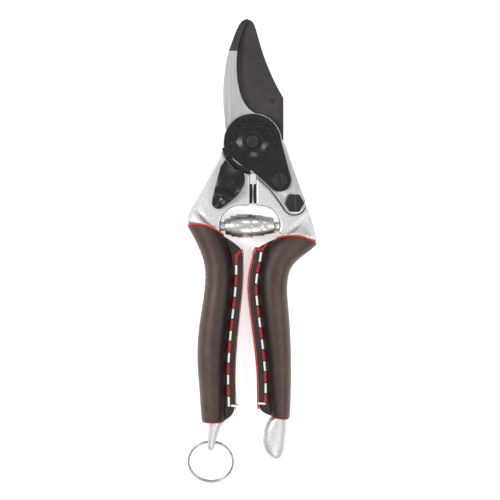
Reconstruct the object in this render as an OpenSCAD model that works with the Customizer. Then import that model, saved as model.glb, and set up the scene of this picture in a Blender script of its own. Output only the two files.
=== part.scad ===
// Bypass pruning shears with leather-covered forged handles, lying on their back.
// Origin: centre of the pivot bolt's head on the resting plane. +Y towards the blade tips,
// +X towards the hook-side handle, +Z up out of the front face. Millimetres.

/* [Pivot] */
// Radius of the pivot bolt's shank
pivot_r = 4; // [3.5:0.1:4.5]
// Radius of the round boss that both blades share around the pivot
boss_r = 14.4; // [14:0.1:14.6]
// Radius of the pivot bolt's flat head
bolt_head_r = 7.5; // [6:0.5:8]

/* [Layers] */
// Height of the bolt head under the handles
head_t = 2.5; // [2:0.1:2.5]
// Thickness of the blade-side handle's eye
eye_t = 4; // [3.5:0.1:4.2]
// Thickness of the cutting blade
blade_t = 3.2; // [2.8:0.1:3.3]
// Thickness of the hook blade
hook_t = 3.4; // [3:0.1:3.6]
// Thickness of the handles' flat webs
web_t = 9; // [8:0.5:9]

/* [Adjusting nut] */
// Number of teeth round the adjusting nut
teeth = 20; // [18:1:22]
// Radius of the circle that the tooth centres lie on
tooth_ring_r = 10.3; // [10:0.1:10.4]
// Radius of each round tooth
tooth_r = 0.85; // [0.7:0.05:0.9]
// Width across the nut's hexagon
hex_af = 14.4; // [13:0.2:15]

/* [Grips] */
// Height of the grips' centre plane
grip_z = 8; // [8:0.1:8.2]
// Thickness of the leather
leather_t = 1.5; // [1.2:0.1:1.6]
// Thickness of the lining inside the leather
lining_t = 0.5; // [0.4:0.1:0.5]
// Half the thickness of the stitched flange
flange_h = 1.6; // [1.4:0.1:1.8]
// Distance between neighbouring stitches along the seam
stitch_pitch = 5.4; // [5:0.1:5.6]
// Thickness of the thread
thread_r = 0.45; // [0.35:0.05:0.5]

/* [Spring] */
// Largest outer radius of the double volute spring
spring_r = 5.7; // [5:0.1:5.8]
// Thickness of the spring strip
strip_t = 0.55; // [0.4:0.05:0.6]
// Width of the spring strip
strip_w = 11.6; // [11:0.1:11.8]

/* [Key ring] */
// Radius of the key ring's centre line
ring_r = 11; // [10.5:0.1:11]
// Thickness of the ring's two turns together, along its axis
ring_t = 2; // [1.6:0.1:2]
// How far the ring droops from level, in degrees
ring_droop = 17.5; // [16:0.5:17.5]

/* [Hidden] */

$fn = 48;
gap = 0.05;                                  // running clearance between sliding faces
fit = 0.05;                                  // radial clearance of a pin in its hole
web_z = head_t + 0.1;                        // back face of both handles
eye_top = web_z + eye_t;
blade_top = eye_top + blade_t;
hook_z = blade_top + gap;
hook_top = hook_z + hook_t;
segment_t = 1.5;
segment_top = hook_top + segment_t;
web_top = web_z + web_t;
pocket_r = boss_r + 0.5;                     // clearance round the shared boss
thread_end_r = pivot_r - 0.95;               // the bolt's threaded end
nut_flange_t = 1.9;
nut_top = hook_top + 5.4;
bolt_top = nut_top + 0.7;
rivet_at = [[-10, 5.2], [10.4, 4.4]];
rivet_r = 1.6;
catch_at = [-8, -20.5];                      // the thumb catch turns here
catch_pin_r = 2;
catch_z = web_top + 0.35;
catch_t = 3.2;
anvil_at = [20.4, -29.4];                    // bolt that holds the hook blade's tail
anvil_r = 2.5;
segment_at = [13.2, -18.3];                  // screw that holds the locking segment
segment_screw_r = 1.5;
left_seam = [3.2, 13, 14];
right_seam = [3.5, 6.8, 15];
spring_y = -40.6;
spring_turns = 2.75;                         // turns from the middle to each end
spring_peg_r = 2.2;
ring_at = [-20.6, -146.6];                   // where the key ring passes the handle's end
ring_hole_r = 1.9;
core_inset = leather_t + lining_t + 0.3;     // leather's outer face to the handle's core
rib_points = 24;
edge_gap = 1;                                // metal ledge to the leather's cut edge
left_edge_strip = 0.5;                       // lining that shows past the flange
right_edge_strip = 0.9;

// Ribs of a grip from top to bottom: outer point, point where the flange starts,
// flange edge, half thickness, and how far the rib bows up the handle.
left_ribs = [
    [[-32.3, -40.2], [-13.8, -45.6], [-12.9, -46.1], 7.5, 2.2],
    [[-28.6, -46.8], [-11.6, -50.0], [-5.4, -51.5], 7.6, 1.2],
    [[-25.0, -54.5], [-9.8, -56.0], [-4.9, -56.6], 7.6, 0.3],
    [[-23.2, -63.0], [-9.0, -64.0], [-4.8, -64.5], 7.6, 0],
    [[-23.8, -73.0], [-9.4, -73.5], [-5.4, -74.0], 7.8, 0],
    [[-25.6, -84.5], [-10.6, -84.5], [-6.6, -84.5], 8.0, 0],
    [[-27.0, -96.0], [-12.0, -96.0], [-7.8, -96.0], 8.0, 0],
    [[-27.2, -108.0], [-12.8, -108.0], [-8.6, -108.0], 8.0, 0],
    [[-26.3, -119.0], [-12.9, -119.0], [-8.8, -119.0], 7.8, 0],
    [[-25.6, -130.0], [-13.0, -130.5], [-8.5, -130.8], 7.5, 0],
    [[-25.1, -136.0], [-13.4, -136.0], [-12.3, -135.0], 7.2, 0]];
right_ribs = [
    [[31.8, -49.6], [11.2, -46.8], [10.0, -47.2], 7.5, 2.4],
    [[27.4, -53.4], [6.6, -50.2], [1.7, -51.6], 7.6, 1.2],
    [[22.0, -57.4], [4.6, -56.0], [0.7, -55.6], 7.6, 0.3],
    [[18.4, -62.4], [3.2, -62.2], [-0.9, -62.0], 7.6, 0],
    [[17.1, -70.0], [2.7, -70.0], [-1.7, -70.0], 7.8, 0],
    [[17.6, -79.0], [3.3, -79.0], [-1.0, -79.0], 8.0, 0],
    [[18.5, -90.0], [4.5, -90.0], [0.4, -90.0], 8.0, 0],
    [[19.0, -102.0], [5.9, -102.0], [1.9, -102.0], 8.0, 0],
    [[19.1, -114.0], [7.0, -114.0], [2.9, -114.0], 7.8, 0],
    [[18.9, -124.0], [7.8, -124.0], [3.1, -124.8], 7.6, 0],
    [[18.7, -130.0], [8.3, -129.4], [3.5, -130.4], 7.4, 0],
    [[18.4, -134.6], [8.8, -133.4], [7.2, -132.9], 7.2, 0]];

// ---- curves and lofts ----

// Catmull-Rom point between b and c
function spline_point(a, b, c, d, t) =
    0.5 * (2 * b + (c - a) * t + (2 * a - 5 * b + 4 * c - d) * t * t
           + (3 * b - a - 3 * c + d) * t * t * t);

// Smooth open curve through rows of numbers or points, n steps to a span
function smooth(p, n) =
    let (m = len(p) - 1)
    concat([for (i = [0:m - 1]) let (a = p[max(i - 1, 0)], b = p[i], c = p[i + 1],
                                     d = p[min(i + 2, m)])
            for (k = [0:n - 1]) spline_point(a, b, c, d, k / n)], [p[m]]);

function arc(c, r, a0, a1, n) =
    [for (k = [0:n]) let (a = a0 + (a1 - a0) * k / n) c + r * [cos(a), sin(a)]];

function unit(v) = v / norm(v);
// The square to d that points up the handle
function up_of(d) = d.x > 0 ? [-d.y, d.x] : [d.y, -d.x];

// Closed solid through rings of the same number of points
module loft(rings) {
    m = len(rings);
    n = len(rings[0]);
    sides = [for (j = [0:m - 2]) for (i = [0:n - 1])
             let (a = j * n + i, b = j * n + (i + 1) % n)
             for (f = [[a, b, a + n], [b, b + n, a + n]]) f];
    e = (m - 1) * n;
    ends = [for (i = [1:n - 2]) for (f = [[0, i + 1, i], [e, e + i, e + i + 1]]) f];
    polyhedron([for (r = rings) each r], concat(sides, ends));
}

// Closed tube wall between two lists of rings
module shell(outer, inner) {
    m = len(outer);
    n = len(outer[0]);
    k = m * n;
    walls = [for (j = [0:m - 2]) for (i = [0:n - 1])
             let (a = j * n + i, b = j * n + (i + 1) % n)
             for (f = [[a, b, a + n], [b, b + n, a + n],
                       [k + b, k + a, k + a + n], [k + b + n, k + b, k + a + n]]) f];
    rims = [for (i = [0:n - 1]) let (b = (i + 1) % n, e = (m - 1) * n)
            for (f = [[b, i, k + i], [k + b, b, k + i],
                      [e + i, e + b, k + e + i], [e + b, k + e + b, k + e + i]]) f];
    polyhedron([for (r = concat(outer, inner)) each r], concat(walls, rims));
}

// Which way round a rib is walked, so that every solid's faces look outwards
function turn(rib) = rib[1].x > rib[0].x ? -1 : 1;

// Point of a rib's oval at angle u, inset from the leather's outer face
function oval_point(rib, inset, u) =
    let (o = rib[0], i = rib[1], d = unit(i - o), a = norm(i - o) / 2 - inset, c = cos(u),
         p = (o + i) / 2 + a * c * d + rib[4] * (1 - c * c) * up_of(d))
    [p.x, p.y, grip_z + turn(rib) * (rib[3] - inset) * sin(u)];

function oval(rib, inset) =
    [for (k = [0:rib_points - 1]) oval_point(rib, inset, 360 * k / rib_points)];

// Angles of the ring points where the flange leaves the oval: dense there, even elsewhere
function flange_angles(root) =
    concat([for (k = [0:rib_points - 5]) root + 14 + (332 - 2 * root) * k / (rib_points - 5)]);

function leather_outer(rib) =
    let (root = asin(flange_h / rib[3]), f = rib[2], h = turn(rib) * flange_h)
    concat([[f.x, f.y, grip_z + h]], [oval_point(rib, 0, root)],
           [for (u = flange_angles(root)) oval_point(rib, 0, u)],
           [oval_point(rib, 0, -root)], [[f.x, f.y, grip_z - h]]);

function leather_inner(rib) =
    let (root = asin(flange_h / rib[3]), w = leather_t)
    concat([oval_point(rib, w, 4)], [oval_point(rib, w, root + 3)],
           [for (u = flange_angles(root)) oval_point(rib, w, u)],
           [oval_point(rib, w, -root - 3)], [oval_point(rib, w, -4)]);

// A rib moved along the handle: up for a positive distance
function moved(rib, s) =
    let (v = s * up_of(unit(rib[1] - rib[0])))
    [rib[0] + v, rib[1] + v, rib[2] + v, rib[3], rib[4]];

// ---- leather grips ----

module leather(ribs) {
    fine = smooth(ribs, 2);
    color([0.23, 0.16, 0.13])
    shell([for (r = fine) leather_outer(r)], [for (r = fine) leather_inner(r)]);
}

// The lining is a thin tube with a turned collar at each cut end, and a strip along the flange
module lining(ribs, edge_strip) {
    fine = smooth(ribs, 2);
    last = len(fine) - 1;
    skin = leather_t + 0.1;
    collar = 0.35;
    top = [moved(fine[0], 0.9), moved(fine[0], 0.1)];
    foot = [moved(fine[last], -0.1), moved(fine[last], -0.5)];
    outer = concat([for (r = top) oval(r, collar)], [oval(moved(fine[0], 0.05), skin)],
                   [for (r = fine) oval(r, skin)],
                   [oval(moved(fine[last], -0.05), skin)], [for (r = foot) oval(r, collar)]);
    bore = skin + lining_t;
    inner = concat([for (r = top) oval(r, bore)], [oval(moved(fine[0], 0.05), bore)],
                   [for (r = fine) oval(r, bore)],
                   [oval(moved(fine[last], -0.05), bore)], [for (r = foot) oval(r, bore)]);
    half = 0.9 * turn(ribs[0]);
    color([0.72, 0.07, 0.07]) {
        shell(outer, inner);
        loft([for (k = [2:last - 2])
              let (f = fine[k][2], d = unit(fine[k][1] - fine[k][0]),
                   a = f + 0.06 * d, b = f + edge_strip * d)
              [[a.x, a.y, grip_z - half], [b.x, b.y, grip_z - half],
               [b.x, b.y, grip_z + half], [a.x, a.y, grip_z + half]]]);
    }
}

// Seam line: runs down the flange, this far in from its edge
function seam_line(ribs, inset) =
    [for (r = smooth(ribs, 4)) let (d = unit(r[2] - r[1])) r[2] - inset * d];
function run(p, k = 0, s = 0) =
    k >= len(p) ? [] : concat([s], run(p, k + 1, k + 1 < len(p) ? s + norm(p[k + 1] - p[k]) : s));
function along(p, lengths, s) =
    let (k = [for (i = [0:len(p) - 2]) if (lengths[i + 1] >= s) i][0],
         t = (s - lengths[k]) / (lengths[k + 1] - lengths[k]))
    p[k] + t * (p[k + 1] - p[k]);

// Every second stitch of the seam, on the front and on the back of the flange. A seam is
// [inset from the flange's edge, start below the flange's top, number of stitches].
module stitches(ribs, seam, first) {
    line = seam_line(ribs, seam[0]);
    lengths = run(line);
    for (side = [1, -1])
        for (k = [side > 0 ? first : 1 - first : 2 : seam[2] - 1]) {
            s = seam[1] + k * stitch_pitch;
            a = along(line, lengths, s);
            b = along(line, lengths, s + stitch_pitch - 0.5);
            d = b - a;
            translate([a.x, a.y, grip_z + side * (flange_h + thread_r + 0.05)])
            rotate([0, 90, atan2(d.y, d.x)])
            cylinder(r = thread_r, h = norm(d), $fn = 16);
        }
}

module white_thread(ribs, seam) color([0.93, 0.92, 0.88]) stitches(ribs, seam, 1);
module red_thread(ribs, seam) color([0.66, 0.06, 0.06]) stitches(ribs, seam, 0);

// ---- handles ----

// Curved end of the metal above the leather, from the outer to the inner side
function ledge(rib, n) =
    let (o = rib[0], i = rib[1], d = unit(i - o), a = norm(i - o) / 2)
    [for (k = [0:n]) let (c = -1 + 1.7 * k / n)
     (o + i) / 2 + a * c * d + (rib[4] * (1 - c * c) + edge_gap + 0.7) * up_of(d)];

// The handle's arm: a shoulder that swells out of the flat web, a ledge for the leather's cut
// edge, the slimmer core inside the leather, and the bare end
module arm(crease, mid, ribs, tail) {
    fine = smooth(ribs, 2);
    end = moved(ribs[0], edge_gap);
    loft(concat([oval([crease[0], crease[1], [0, 0], 3.2, 0], 0),
                 oval([mid[0], mid[1], [0, 0], 5.0, 1], 0),
                 oval([end[0], end[1], [0, 0], 5.65, end[4]], 0),
                 oval(moved(fine[0], edge_gap - 0.1), core_inset)],
                [for (r = fine) oval(r, core_inset)],
                [for (r = smooth(tail, 2)) oval(r, 0)]));
}

left_web = concat(
    [[-14.6, -0.6], [-15.2, -4.2], [-31.9, -33.2], [-32.7, -36.6]],
    ledge(left_ribs[0], 8),
    smooth([[-15.9, -41.2], [-16.0, -39.1], [-15.2, -36.3], [-13.2, -33.5],
            [-10.1, -31.2], [-6.8, -30.2], [-2.6, -30.4]], 3),
    [[-1.2, -29.8], [-1.2, -8]]);
right_web = concat(
    [[13.3, -8.7], [18.7, -11.2], [23.0, -22.2], [25.2, -27.8], [27.8, -33.8], [30.2, -41.6],
     [31.6, -47.6]],
    ledge(right_ribs[0], 8),
    smooth([[12.7, -43.6], [13.6, -40.8], [13.2, -37.7], [11.8, -34.9], [9.6, -32.2],
            [5.9, -30.7], [3.0, -30.5]], 3),
    [[1.7, -29.8], [1.7, -8]]);
left_tail = [
    [[-22.0, -137.0], [-14.4, -137.0], [0, 0], 4.9, 0],
    [[-22.2, -141.0], [-15.8, -141.0], [0, 0], 4.6, 0],
    [[-22.5, -146.5], [-17.6, -146.5], [0, 0], 4.0, 0],
    [[-22.3, -149.5], [-18.4, -149.5], [0, 0], 3.4, 0],
    [[-21.2, -151.2], [-19.6, -151.2], [0, 0], 1.8, 0]];
right_tail = [
    [[17.2, -136.0], [8.0, -135.0], [0, 0], 4.5, 0],
    [[16.9, -139.5], [6.0, -139.2], [0, 0], 4.4, 0],
    [[16.3, -146.0], [5.0, -145.5], [0, 0], 4.1, 0],
    [[15.7, -150.2], [5.6, -149.8], [0, 0], 3.7, 0],
    [[14.8, -153.2], [7.4, -152.9], [0, 0], 3.0, 0],
    [[13.2, -155.2], [10.0, -154.9], [0, 0], 1.6, 0]];

bumper_y = [-29.2, -19.8];

module bumper_pocket(x, side) {
    translate([x + (side < 0 ? -2.2 : 0), bumper_y[0] - 0.1, web_z + 1.4])
    cube([2.2, bumper_y[1] - bumper_y[0] + 0.2, web_t - 2.8]);
}

// Pad with a crowned face that meets the other handle's pad
module bumper(x, side) {
    long = bumper_y[1] - bumper_y[0];
    mid = (bumper_y[0] + bumper_y[1]) / 2;
    crown_r = 40;
    reach = 1.35;
    color([0.05, 0.05, 0.05])
    intersection() {
        translate([side < 0 ? x - 2.1 : x - reach, bumper_y[0], web_z + 1.5])
        cube([2.1 + reach, long, web_t - 3]);
        translate([side < 0 ? x + reach - crown_r : x - reach + crown_r, mid, web_z])
        cylinder(r = crown_r, h = web_t);
    }
}

module spring_peg(x, side) {
    translate([x, spring_y, grip_z]) rotate([0, side * 90, 0])
    cylinder(r = spring_peg_r, h = 5);
}

module left_handle() {
    color([0.82, 0.82, 0.83])
    difference() {
        union() {
            translate([0, 0, web_z]) linear_extrude(web_t) polygon(left_web);
            translate([0, 0, web_z]) cylinder(r = boss_r, h = eye_t);
            arm([[-28.8, -28.4], [-18.6, -40.8]], [[-32.0, -35.0], [-15.8, -43.6]], left_ribs,
                left_tail);
            spring_peg(-18, 1);
        }
        translate([0, 0, eye_top]) cylinder(r = pocket_r, h = 20);
        translate([0, 0, -1]) cylinder(r = pivot_r + fit, h = 12);
        for (p = rivet_at) translate([p.x, p.y, 0]) cylinder(r = rivet_r + fit, h = 12);
        translate([catch_at.x, catch_at.y, 0]) cylinder(r = catch_pin_r + fit, h = 20);
        bumper_pocket(-1.2, -1);
        translate([ring_at.x - 6, ring_at.y, grip_z]) rotate([0, 90, 0])
        cylinder(r = ring_hole_r, h = 12);
    }
}

module right_handle() {
    color([0.82, 0.82, 0.83])
    difference() {
        union() {
            translate([0, 0, web_z]) linear_extrude(web_t) polygon(right_web);
            arm([[26.9, -35.2], [15.8, -44.6]], [[30.2, -42.8], [13.2, -45.6]], right_ribs,
                right_tail);
            spring_peg(15.4, -1);
        }
        translate([0, 0, -1]) cylinder(r = pocket_r + 0.2, h = 20);
        translate([0, 0, blade_top]) tail(0.35, 6);
        translate([anvil_at.x, anvil_at.y, -1]) cylinder(r = anvil_r + fit, h = 20);
        translate([anvil_at.x, anvil_at.y, -1]) cylinder(r = 4.6, h = 1 + web_z + 1.2);
        translate([segment_at.x, segment_at.y, blade_top - 3]) cylinder(r = segment_screw_r + fit, h = 8);
        bumper_pocket(1.7, 1);
    }
}

// ---- blades ----

// Outer and inner edges of the hook, from its root to its tip
hook_back = [[-13.2, 5.6], [-13.6, 11.5], [-14.3, 19.5], [-14.2, 28.2], [-13.5, 35.0],
             [-12.4, 41.5], [-10.6, 47.6], [-8.2, 54.4], [-6.2, 58.5], [-4.4, 60.4],
             [-2.4, 61.0]];
hook_mouth = [[-1.8, 60.4], [-4.2, 56.0], [-6.6, 48.6], [-7.7, 41.5], [-7.6, 33.6],
              [-6.8, 27.6], [-5.1, 21.6], [-1.9, 16.6], [2.0, 14.0]];
// Edges of the cutting blade: its back from the heel up, and its cutting edge from the tip down
blade_spine = [[15.2, 22.3], [11.6, 28.8], [8.2, 36.2], [5.4, 43.4], [3.3, 50.4],
               [1.7, 56.2], [0.4, 59.4], [-1.6, 60.9]];
blade_edge = [[-3.2, 59.8], [-5.6, 55.0], [-8.3, 47.6], [-9.5, 40.8], [-9.5, 33.6],
              [-8.8, 27.4], [-7.2, 21.4], [-4.4, 15.8], [-1.4, 12.6]];

module cutting_blade_plate(t) {
    cylinder(r = boss_r, h = t);
    linear_extrude(t)
    polygon(concat([[0, 0], [14.2, -2.2], [15.2, 1.2]], smooth(blade_spine, 2),
                   smooth(blade_edge, 2)));
}

// Sloping cut that thins the blade to its edge between a and b, seen from the back
module edge_bevel(a, b, depth, width, z) {
    d = b - a;
    translate([a.x, a.y, z]) rotate(atan2(d.y, d.x)) translate([0, width, 0])
    rotate([-atan(depth / width), 0, 0]) translate([-3, -10, -6]) cube([norm(d) + 6, 10, 6]);
}

module cutting_blade() {
    color([0.16, 0.15, 0.15])
    difference() {
        translate([0, 0, eye_top]) cutting_blade_plate(blade_t);
        cylinder(r = pivot_r + fit, h = 20);
        for (p = rivet_at) translate([p.x, p.y, 0]) cylinder(r = rivet_r + fit, h = 20);
        // drilled mark, not right through
        translate([10.2, 20.8, eye_top + blade_t - 1]) cylinder(r = 1.2, h = 2);
        for (k = [0, 2, 4])
            edge_bevel(blade_edge[k], blade_edge[k + 2], blade_t - 0.6, 4.2, eye_top);
    }
}

module blade_rivets() {
    color([0.35, 0.35, 0.36])
    for (p = rivet_at) translate([p.x, p.y, 0]) {
        translate([0, 0, web_z - 0.7]) cylinder(r1 = 1.9, r2 = 2.5, h = 0.7);
        translate([0, 0, web_z]) cylinder(r = rivet_r, h = blade_top - web_z);
    }
}

// Tail of the hook blade from the boss to its round end, grown by g, t thick
module tail(g, t) {
    end_r = 5.4 + g;
    side_r = end_r - 0.04;                   // the straight sides start just inside the round end
    translate(anvil_at) cylinder(r = end_r, h = t);
    linear_extrude(t)
    polygon([[0, 0], [-0.4 - g, -13.4], [2.6 - g, -16.6 - g], [8.3 - g, -22.0], [12.4 - g, -27.2],
             anvil_at + side_r * [cos(212), sin(212)], anvil_at,
             anvil_at + side_r * [cos(22), sin(22)],
             [19.5 + g, -11.2], [16.6 + g, -2.6], [14.4, 2]]);
}

module hook_plate(t) {
    // the boss, cut back under the thumb catch's nose
    difference() {
        cylinder(r = boss_r, h = t);
        translate([0, 0, -1]) linear_extrude(t + 2)
        polygon(concat([[-16, -8.6]], arc([0, 0], 12.4, 208, 266, 8), [[-1, -17], [-16, -17]]));
    }
    tail(0, t);
    linear_extrude(t)
    polygon(concat([[0, 0]], [[-11, 2]], smooth(hook_back, 2), smooth(hook_mouth, 2), [[8, 8]]));
}

module hook_blade() {
    color([0.78, 0.77, 0.76])
    difference() {
        translate([0, 0, hook_z]) hook_plate(hook_t);
        cylinder(r = pivot_r + fit, h = 20);
        translate([anvil_at.x, anvil_at.y, 0]) cylinder(r = anvil_r + fit, h = 20);
        translate([segment_at.x, segment_at.y, 0]) cylinder(r = segment_screw_r + fit, h = 20);
        // sloping facet that thins the tip
        translate([-12, 44.8, hook_top]) rotate([-9, 0, 0]) cube([14, 22, 6]);
    }
}

// ---- pivot hardware ----

module pivot_bolt() {
    color([0.3, 0.3, 0.31]) {
        cylinder(r = bolt_head_r, h = head_t);
        translate([0, 0, head_t]) cylinder(r = pivot_r, h = hook_top - 0.4 - head_t);
        translate([0, 0, hook_top - 0.4]) cylinder(r = thread_end_r, h = bolt_top - hook_top + 0.4);
    }
}

module toothed_disc(grow, t) {
    cylinder(r = tooth_ring_r + grow, h = t);
    for (k = [0:teeth - 1]) rotate(360 * (k + 0.5) / teeth) translate([tooth_ring_r, 0, 0])
        cylinder(r = tooth_r + grow, h = t);
}

module adjusting_nut() {
    hex_r = hex_af / 2 / cos(30);
    color([0.1, 0.1, 0.11])
    difference() {
        union() {
            translate([0, 0, hook_top]) toothed_disc(0, nut_flange_t);
            intersection() {
                translate([0, 0, hook_top]) cylinder(r = hex_r, h = nut_top - hook_top, $fn = 6);
                // cone that chamfers the hexagon's corners
                translate([0, 0, hook_top])
                cylinder(r1 = hex_r + 8, r2 = 5, h = nut_top - hook_top);
            }
        }
        cylinder(r = thread_end_r + fit, h = 30);
    }
}

module locking_segment() {
    lobe_r = 5.6;
    side_r = lobe_r - 0.04;
    color([0.07, 0.07, 0.08])
    translate([0, 0, hook_top])
    difference() {
        union() {
            cylinder(r = boss_r - 0.4, h = segment_t);
            translate(segment_at) cylinder(r = lobe_r, h = segment_t);
            linear_extrude(segment_t)
            polygon([[13.8, 1.6], segment_at + side_r * [cos(14), sin(14)], segment_at,
                     segment_at + side_r * [cos(224), sin(224)], [0, -13.8], [0, 0]]);
            // lug at the rim that the thumb catch faces
            linear_extrude(segment_t)
            polygon(concat(arc([0, 0], 15.1, 190, 207, 4), arc([0, 0], 11.6, 207, 190, 4)));
        }
        translate([0, 0, -1]) toothed_disc(0.15, segment_t + 2);
        translate([0, 0, -1]) linear_extrude(segment_t + 2)
        polygon([[-16, -8.9], [-12.7, -6.9], [-10.9, -6.5], [-5.0, -11.3], [0, -13.8],
                 [-3, -18], [-16, -18]]);
        translate([segment_at.x, segment_at.y, -1])
        cylinder(r = segment_screw_r + fit, h = segment_t + 2);
    }
}

// Round-headed screw with a straight slot, its head's underside at z
module slotted_screw(at, z, head_r, head_h, shank_r, shank_h, slot_turn) {
    translate([at.x, at.y, z])
    difference() {
        union() {
            cylinder(r1 = head_r, r2 = head_r - 0.5, h = head_h);
            translate([0, 0, -shank_h]) cylinder(r = shank_r, h = shank_h);
        }
        translate([0, 0, head_h - 0.7]) rotate(slot_turn)
        translate([-0.45, -head_r - 1, 0]) cube([0.9, 2 * head_r + 2, 2]);
    }
}

module segment_screw()
    color([0.17, 0.16, 0.16])
    slotted_screw(segment_at, segment_top, 4.2, 1.1, segment_screw_r, segment_top - blade_top + 2.4, 9);

module anvil_bolt() {
    head_r = 4.7;
    head_h = 1.3;
    color([0.2, 0.2, 0.21])
    translate([anvil_at.x, anvil_at.y, hook_top])
    difference() {
        union() {
            // half hexagon and half round head
            intersection() {
                cylinder(r = head_r, h = head_h);
                rotate(60) cylinder(r = head_r * 1.04, h = head_h, $fn = 6);
            }
            translate([0, 0, web_z + 1.4 - hook_top - 0.6])
            cylinder(r = anvil_r, h = hook_top - web_z - 0.8);
        }
        translate([-0.45, -head_r - 1, head_h - 0.7]) cube([0.9, 2 * head_r + 2, 2]);
    }
}

module anvil_nut() {
    color([0.2, 0.2, 0.21])
    translate([anvil_at.x, anvil_at.y, 1.4])
    difference() {
        cylinder(r = 4.4, h = web_z - 1.4 + 1.1);
        translate([0, 0, web_z + 0.8 - 1.45]) cylinder(r = anvil_r + fit, h = 9);
        translate([-0.5, -6, -1]) cube([1, 12, 1.6]);
    }
}

// ---- thumb catch ----

catch_outline = concat(
    arc([0, 0], 15.5, 212, 233, 5),
    smooth([[-6.9, -13.0], [-4.9, -13.6], [-3.8, -16.0], [-3.7, -18.8], [-4.6, -22.0],
            [-6.9, -25.2], [-10.4, -28.4], [-14.4, -31.4], [-17.0, -32.2], [-19.1, -30.9],
            [-19.7, -28.2], [-17.5, -19.4], [-15.5, -11.6]], 2));

module thumb_catch() {
    color([0.06, 0.06, 0.07])
    difference() {
        intersection() {
            translate([0, 0, catch_z]) linear_extrude(catch_t + 1.2) polygon(catch_outline);
            // crowned top
            translate([catch_at.x - 3, catch_at.y, catch_z + catch_t + 1.2 - 28]) sphere(r = 28);
        }
        // hollow across the lever for the thumb
        translate([-14, -25.5, catch_z + catch_t + 5.6]) rotate([90, 0, 68])
        cylinder(r = 5.6, h = 30, center = true);
        translate([catch_at.x, catch_at.y, catch_z - 1])
        cylinder(r = catch_pin_r + fit, h = catch_t - 0.2);
    }
}

module catch_pin() {
    color([0.55, 0.55, 0.56])
    translate([catch_at.x, catch_at.y, web_z + 0.4])
    cylinder(r = catch_pin_r, h = catch_z + catch_t - 1.5 - web_z - 0.4);
}

module catch_washer() {
    color([0.6, 0.6, 0.6])
    translate([catch_at.x, catch_at.y, web_top])
    difference() {
        cylinder(r = 3.9, h = 0.3);
        translate([0, 0, -1]) cylinder(r = catch_pin_r + fit, h = 3);
    }
}

// ---- spring and ring ----

// Double volute: one strip wound outwards from one end to the middle, then inwards again
module volute_spring() {
    per_turn = 20;
    steps = ceil(2 * spring_turns * per_turn);
    coil_gap = 0.83;                         // radius lost in each turn
    shift = 1.1;                             // how far each turn stands out past the last
    middle = -0.4;
    color([0.8, 0.8, 0.81])
    loft([for (k = [0:steps])
          let (t = -spring_turns + 2 * spring_turns * k / steps,
               side = max(-1, min(1, t / 0.14)),
               r = spring_r - coil_gap * abs(t),
               x = middle + side * (strip_w / 2 + 0.15) * (1 - 0.06 * abs(t)) + shift * t * 0.9,
               w = strip_w / 2 - 0.9 * abs(t),
               a = 360 * t + 90)
          [for (c = [[-w, r - strip_t], [w, r - strip_t], [w, r], [-w, r]])
           [x + c.x, spring_y + c.y * cos(a), grip_z + c.y * sin(a)]]]);
}

module key_ring() {
    wire = 1.1;
    color([0.75, 0.75, 0.76])
    translate([ring_at.x, ring_at.y, grip_z]) rotate([ring_droop, 0, 0])
    translate([0, -ring_r, 0]) rotate_extrude($fn = 96)
    translate([ring_r - wire / 2, -ring_t / 2]) {
        translate([wire / 2, wire / 2]) circle(d = wire, $fn = 24);
        translate([wire / 2, ring_t - wire / 2]) circle(d = wire, $fn = 24);
        translate([0, wire / 2]) square([wire, ring_t - wire]);
    }
}

left_handle();
cutting_blade();
blade_rivets();
catch_pin();
catch_washer();
thumb_catch();
bumper(-1.2, -1);  // left_bumper
lining(left_ribs, left_edge_strip);  // left_lining
leather(left_ribs);  // left_leather
white_thread(left_ribs, left_seam);  // left_white_thread
red_thread(left_ribs, left_seam);  // left_red_thread
key_ring();
volute_spring();
right_handle();
hook_blade();
pivot_bolt();
adjusting_nut();
locking_segment();
segment_screw();
anvil_bolt();
anvil_nut();
bumper(1.7, 1);  // right_bumper
lining(right_ribs, right_edge_strip);  // right_lining
leather(right_ribs);  // right_leather
white_thread(right_ribs, right_seam);  // right_white_thread
red_thread(right_ribs, right_seam);  // right_red_thread
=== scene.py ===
"""Bypass pruning shears with stitched leather grips, lying on their back on a pale table."""

import math

import bmesh
import bpy
from mathutils import Matrix, Vector


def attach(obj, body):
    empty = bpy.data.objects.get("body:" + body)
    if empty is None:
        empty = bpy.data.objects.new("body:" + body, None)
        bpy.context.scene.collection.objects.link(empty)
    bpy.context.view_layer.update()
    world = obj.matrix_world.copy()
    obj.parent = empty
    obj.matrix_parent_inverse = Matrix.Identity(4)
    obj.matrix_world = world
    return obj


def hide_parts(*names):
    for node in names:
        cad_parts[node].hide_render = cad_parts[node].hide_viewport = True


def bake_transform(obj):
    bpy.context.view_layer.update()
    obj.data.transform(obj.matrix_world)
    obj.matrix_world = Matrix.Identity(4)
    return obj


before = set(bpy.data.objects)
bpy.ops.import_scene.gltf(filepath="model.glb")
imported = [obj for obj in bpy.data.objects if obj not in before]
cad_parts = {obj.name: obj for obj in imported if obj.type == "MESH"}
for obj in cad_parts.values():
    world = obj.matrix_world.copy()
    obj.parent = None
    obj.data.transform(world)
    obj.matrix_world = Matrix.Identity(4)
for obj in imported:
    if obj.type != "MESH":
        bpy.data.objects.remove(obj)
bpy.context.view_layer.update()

MM = 0.001
BLADE_SIDE = "blade_side"
HOOK_SIDE = "hook_side"
BODY_OF = {"left": BLADE_SIDE, "right": HOOK_SIDE}
GRIP_HEIGHT = 8.0
GRIP_Z = GRIP_HEIGHT * MM

WELD_DISTANCE = 0.004 * MM
# Edges sharper than this get a rounded break
EDGE_BREAK_ANGLE = math.radians(28)
# Gentler creases than that still show, where two faces this large meet
CREASE_ANGLE = math.radians(7)
LARGE_FACE = 6 * MM * MM


# ---- mesh tools ----


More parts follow.
